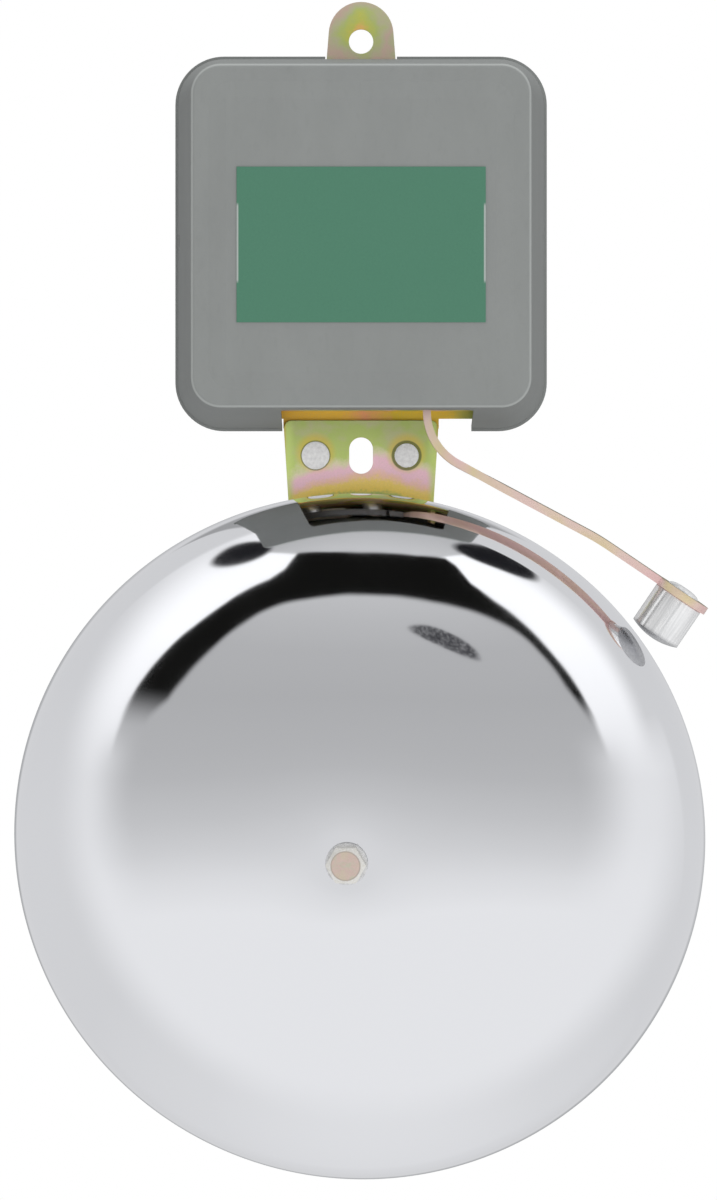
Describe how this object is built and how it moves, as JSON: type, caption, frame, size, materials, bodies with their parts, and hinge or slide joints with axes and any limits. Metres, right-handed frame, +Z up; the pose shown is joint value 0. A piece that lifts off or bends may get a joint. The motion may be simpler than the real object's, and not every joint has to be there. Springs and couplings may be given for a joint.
{
  "type": "electric bell",
  "caption": "Wall-mounted electric bell: drafted sheet-metal box over an electromagnet, striker strip with cylindrical hammer, and a large domed gong hung below on a strap.",
  "frame": {"origin": "centre of the hanging hole, on the wall face of the back plate", "axes": "+X to the right seen from the front, +Y into the wall, +Z up, so the bell faces -Y"},
  "size_m": [0.1997, 0.0708, 0.3415],
  "materials": {
    "passivated_steel": "zinc plated and yellow passivated, iridescent",
    "cover_paint": "grey stoving paint, satin",
    "label_green": "plain green, matt",
    "gong_chrome": "polished",
    "bright_steel": "bright zinc plated",
    "zinc_screws": "zinc plated",
    "core_steel": "stacked silicon steel sheet, varnished",
    "spring_steel": "blued spring steel",
    "bobbin_plastic": "moulded nylon",
    "enamelled_wire": "enamelled copper wire",
    "coil_tape": "insulating tape",
    "terminal_plastic": "moulded",
    "lead_sleeve": "insulating sleeve",
    "earth_brass": "bright",
    "black_rubber": "matt"
  },
  "bodies": {
    "bell": {"back_plate": "passivated_steel", "front_cover": "cover_paint", "cover_label": "label_green", "gong_strap": "passivated_steel", "strap_rivets": "bright_steel", "gong_post": "bright_steel", "gong": "gong_chrome", "gong_washer": "bright_steel", "gong_bolt": "zinc_screws", "chassis_plate": "passivated_steel", "hinge_bracket": "passivated_steel", "backstop_bracket": "passivated_steel", "bracket_screws": "zinc_screws", "backstop_screw": "zinc_screws", "backstop_buffer": "black_rubber", "backstop_nut": "zinc_screws", "magnet_stand_offs": "bright_steel", "magnet_core": "core_steel", "core_bolts": "zinc_screws", "coil_bobbin": "bobbin_plastic", "coil_winding": "enamelled_wire", "coil_tape": "coil_tape", "leaf_spring": "spring_steel", "spring_clamp": "passivated_steel", "clamp_screws": "zinc_screws", "terminal_block": "terminal_plastic", "terminal_screws": "zinc_screws", "coil_leads": "lead_sleeve", "earth_screw": "earth_brass", "cable_bush": "black_rubber"},
    "striker": {"armature": "core_steel", "armature_rivets": "bright_steel", "striker_strip": "passivated_steel", "hammer_head": "bright_steel"}
  },
  "joints": [
    {"name": "striker_swing", "type": "hinge", "parent": "bell", "child": "striker", "pos_m": [0.01745, -0.033, -0.02118], "axis": [0, 1, 0], "range_deg": [-2, 0.75], "stiffness_Nm_per_rad": 4.8, "springref_deg": -0.22, "deforming": ["leaf_spring"]}
  ]
}
